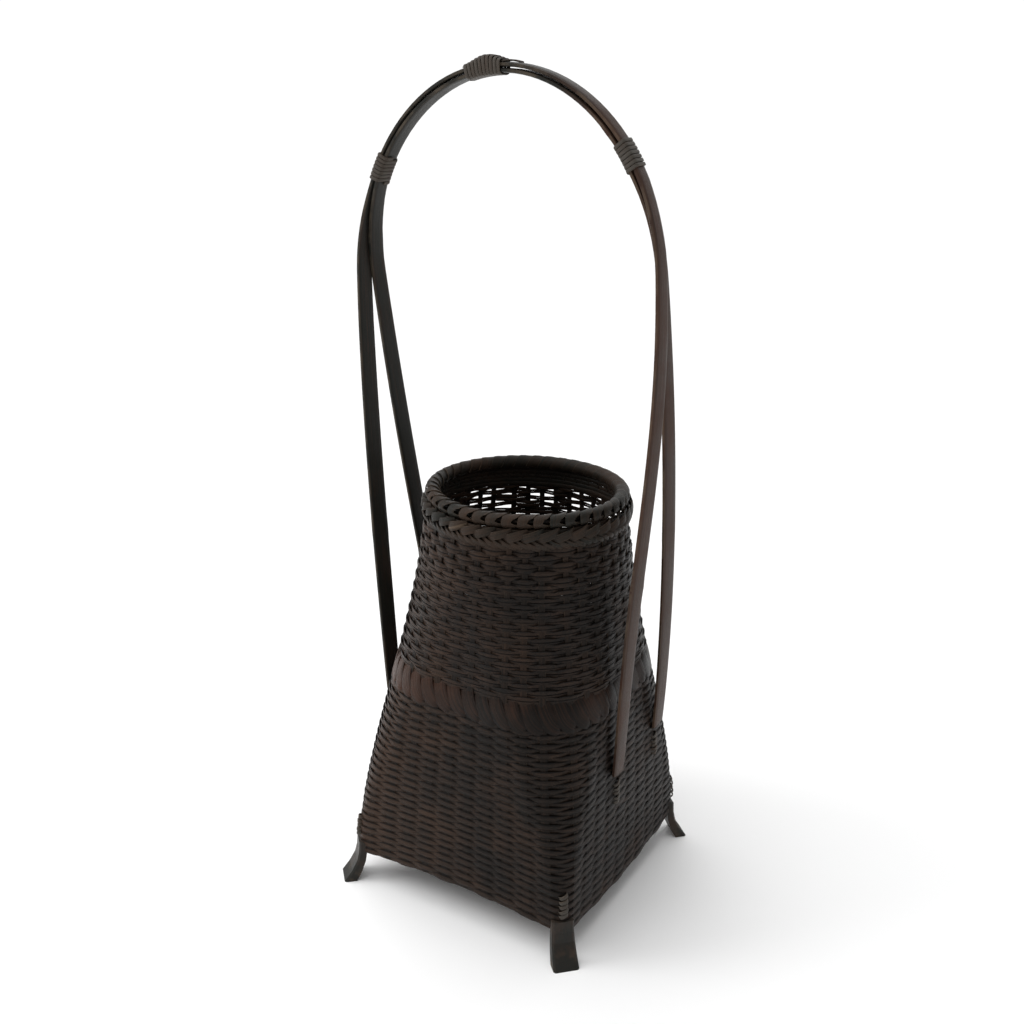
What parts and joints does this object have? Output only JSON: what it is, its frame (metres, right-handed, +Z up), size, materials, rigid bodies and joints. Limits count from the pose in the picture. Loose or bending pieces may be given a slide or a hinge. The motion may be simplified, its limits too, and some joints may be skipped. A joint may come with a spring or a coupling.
{
  "type": "ikebana basket",
  "caption": "Tall handled flower basket of dark woven bamboo, square at the base and round at the mouth, on corner feet, with a lashed arch handle.",
  "frame": {"origin": "on the floor, under the middle of the whole object's bounding box; the basket's own axis is 13.4 mm towards +X, because the handle leans to -X", "axes": "+Z up; the handle spans X; the base is square with its sides along X and Y, and the corner at +X -Y is the front one in the picture"},
  "size_m": [0.2122, 0.1854, 0.5256],
  "materials": {
    "woven_bamboo": "dark brown lacquered weave, satin",
    "band_bamboo": "red-brown lacquered plait, satin",
    "stake_bamboo": "dark stained split bamboo, satin",
    "rim_bamboo": "dark lacquered bamboo strips, satin",
    "foot_bamboo": "dark grey-green bamboo, worn satin",
    "handle_bamboo": "charcoal split bamboo with warm brown, satin",
    "cane": "grey-brown rattan cane, satin"
  },
  "bodies": {
    "root": {"base_panel": "woven_bamboo", "base_splint_over": "stake_bamboo", "base_splint_under": "stake_bamboo", "foot_back": "foot_bamboo", "foot_front": "foot_bamboo", "foot_left": "foot_bamboo", "foot_right": "foot_bamboo", "foot_tie_back": "cane", "foot_tie_front": "cane", "foot_tie_left": "cane", "foot_tie_right": "cane", "handle_strip_inner": "handle_bamboo", "handle_strip_outer": "handle_bamboo", "leg_tie_back_left": "cane", "leg_tie_back_right": "cane", "leg_tie_front_left": "cane", "leg_tie_front_right": "cane", "lower_wall": "woven_bamboo", "plaited_band": "band_bamboo", "rim_core": "stake_bamboo", "rim_plait_lower": "rim_bamboo", "rim_plait_upper": "rim_bamboo", "rim_roll": "rim_bamboo", "shoulder_lashing_left": "cane", "shoulder_lashing_right": "cane", "top_bolster": "handle_bamboo", "top_lashing": "cane", "upper_wall": "woven_bamboo", "upright_stakes": "stake_bamboo"}
  },
  "joints": []
}
